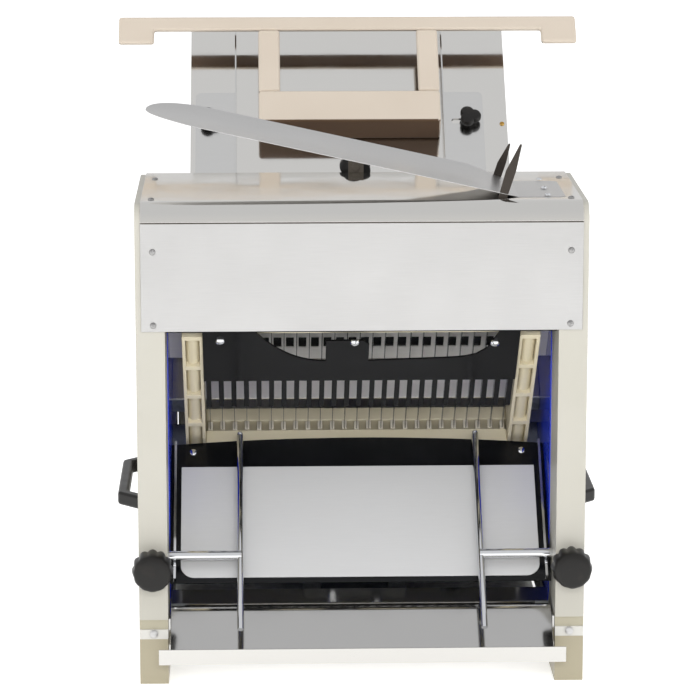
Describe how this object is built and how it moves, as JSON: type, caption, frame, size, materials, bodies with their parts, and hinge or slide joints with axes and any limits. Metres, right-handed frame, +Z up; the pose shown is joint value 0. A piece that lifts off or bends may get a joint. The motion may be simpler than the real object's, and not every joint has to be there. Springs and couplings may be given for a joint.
{
  "type": "bread slicer machine",
  "caption": "Bench bread slicer: tilted feed chute with pusher, two opposed reciprocating blade frames under a stainless hood, outfeed panel with slice guides, and crumb tray.",
  "frame": {"origin": "centre of the four foot bolt holes, on the surface the machine stands on", "axes": "+X to the right as seen from the front, +Y from the front to the back, +Z up"},
  "size_m": [0.644, 0.7312, 0.7781],
  "materials": {
    "cream_enamel": "semi-gloss enamel",
    "blue_film": "glossy film-faced sheet",
    "polished_stainless": "mirror polished",
    "satin_stainless": "satin",
    "dark_steel": "glossy dark",
    "black_plastic": "moulded",
    "blade_steel": "ground",
    "cream_casting": "painted casting",
    "bright_steel": "ground and plated",
    "grey_iron": "painted casting",
    "galvanised": "zinc plated",
    "motor_paint": "hammered paint",
    "belt_rubber": "wrapped cloth and rubber",
    "cream_board": "smooth painted",
    "green_switch": "moulded"
  },
  "bodies": {
    "body": {"side_frame_left": "cream_enamel", "side_frame_right": "cream_enamel", "liner_left": "blue_film", "liner_right": "blue_film", "top_cover": "polished_stainless", "front_fascia": "satin_stainless", "cover_screws": "bright_steel", "front_rail": "cream_enamel", "deck_rail": "cream_enamel", "base_plate": "galvanised", "rear_panel": "cream_enamel", "carry_handle_left": "black_plastic", "carry_handle_right": "black_plastic", "guide_rods": "bright_steel", "rod_brackets": "galvanised", "blade_comb": "dark_steel", "hold_down_plate": "polished_stainless", "crank_case": "grey_iron", "drive_belt": "belt_rubber", "motor": "motor_paint", "chute_plate": "polished_stainless", "chute_mounts": "galvanised", "chute_studs": "bright_steel", "outfeed_bed": "dark_steel", "outfeed_panel": "satin_stainless", "outfeed_rivets": "bright_steel", "bed_ledges": "galvanised", "tray_runners": "polished_stainless", "bag_scoop": "satin_stainless", "scoop_screws": "bright_steel", "knob_clip": "bright_steel", "switch_bezel": "black_plastic", "cable_gland": "black_plastic"},
    "front_blade_frame": {"front_frame_beams": "cream_casting", "front_frame_bars": "cream_casting", "front_hooks": "bright_steel", "front_blades": "blade_steel", "front_push_rod": "bright_steel"},
    "rear_blade_frame": {"rear_frame_beams": "cream_casting", "rear_frame_bars": "cream_casting", "rear_hooks": "bright_steel", "rear_blades": "blade_steel", "rear_push_rod": "bright_steel"},
    "drive_wheel": {"drive_shaft": "bright_steel", "drive_pulley": "grey_iron"},
    "motor_wheel": {"motor_pulley": "grey_iron"},
    "pusher": {"pusher_handle": "cream_board", "pusher_arms": "cream_board", "pusher_board": "cream_board"},
    "left_chute_guide": {"chute_guide_left": "satin_stainless"},
    "right_chute_guide": {"chute_guide_right": "satin_stainless"},
    "left_chute_knob": {"chute_knob_left": "black_plastic"},
    "right_chute_knob": {"chute_knob_right": "black_plastic"},
    "left_outfeed_guide": {"outfeed_guide_left": "bright_steel"},
    "right_outfeed_guide": {"outfeed_guide_right": "bright_steel"},
    "left_lock_knob": {"lock_knob_left": "black_plastic"},
    "right_lock_knob": {"lock_knob_right": "black_plastic"},
    "tray": {"crumb_tray": "polished_stainless"},
    "deck_knob": {"deck_knob": "black_plastic"},
    "rocker": {"switch_rocker": "green_switch"}
  },
  "joints": [
    {"name": "front_blade_stroke", "type": "slide", "parent": "body", "child": "front_blade_frame", "axis": [0, -0.7071, 0.7071], "range_m": [-0.012, 0.012]},
    {"name": "rear_blade_stroke", "type": "slide", "parent": "body", "child": "rear_blade_frame", "axis": [0, -0.7071, 0.7071], "range_m": [-0.012, 0.012]},
    {"name": "drive_wheel_spin", "type": "hinge", "parent": "body", "child": "drive_wheel", "pos_m": [0.12, 0.04021, 0.17279], "axis": [1, 0, 0], "continuous": true},
    {"name": "motor_wheel_spin", "type": "hinge", "parent": "body", "child": "motor_wheel", "pos_m": [0.12, 0.185, 0.13], "axis": [1, 0, 0], "continuous": true},
    {"name": "pusher_slide", "type": "slide", "parent": "body", "child": "pusher", "axis": [0, 0.7071, 0.7071], "range_m": [-0.32, 0]},
    {"name": "left_chute_guide_slide", "type": "slide", "parent": "body", "child": "left_chute_guide", "axis": [-1, 0, 0], "range_m": [-0.003, 0.017]},
    {"name": "right_chute_guide_slide", "type": "slide", "parent": "body", "child": "right_chute_guide", "axis": [1, 0, 0], "range_m": [-0.003, 0.017]},
    {"name": "left_chute_knob_turn", "type": "hinge", "parent": "body", "child": "left_chute_knob", "pos_m": [-0.194, 0.25729, 0.64443], "axis": [0, -0.7071, 0.7071], "continuous": true},
    {"name": "right_chute_knob_turn", "type": "hinge", "parent": "body", "child": "right_chute_knob", "pos_m": [0.168, 0.25729, 0.64443], "axis": [0, -0.7071, 0.7071], "continuous": true},
    {"name": "left_outfeed_guide_slide", "type": "slide", "parent": "body", "child": "left_outfeed_guide", "axis": [-1, 0, 0], "range_m": [-0.025, 0.05]},
    {"name": "right_outfeed_guide_slide", "type": "slide", "parent": "body", "child": "right_outfeed_guide", "axis": [1, 0, 0], "range_m": [-0.025, 0.05]},
    {"name": "left_lock_knob_turn", "type": "hinge", "parent": "body", "child": "left_lock_knob", "pos_m": [-0.262, -0.295, 0.15441], "axis": [0, 1, 0], "continuous": true},
    {"name": "right_lock_knob_turn", "type": "hinge", "parent": "body", "child": "right_lock_knob", "pos_m": [0.262, -0.295, 0.15441], "axis": [0, 1, 0], "continuous": true},
    {"name": "tray_slide", "type": "slide", "parent": "body", "child": "tray", "axis": [0, -1, 0], "range_m": [0, 0.15]},
    {"name": "deck_knob_turn", "type": "hinge", "parent": "body", "child": "deck_knob", "pos_m": [0, -0.045, 0.62], "axis": [0, 1, 0], "continuous": true},
    {"name": "switch_rock", "type": "hinge", "parent": "body", "child": "rocker", "pos_m": [0.17, 0.2694, 0.21], "axis": [1, 0, 0], "range_deg": [-7, 7]}
  ],
  "couplings": [
    {"joint": "rear_blade_stroke", "follows": "front_blade_stroke", "ratio": -1},
    {"joint": "motor_wheel_spin", "follows": "drive_wheel_spin", "ratio": 2.4847}
  ]
}
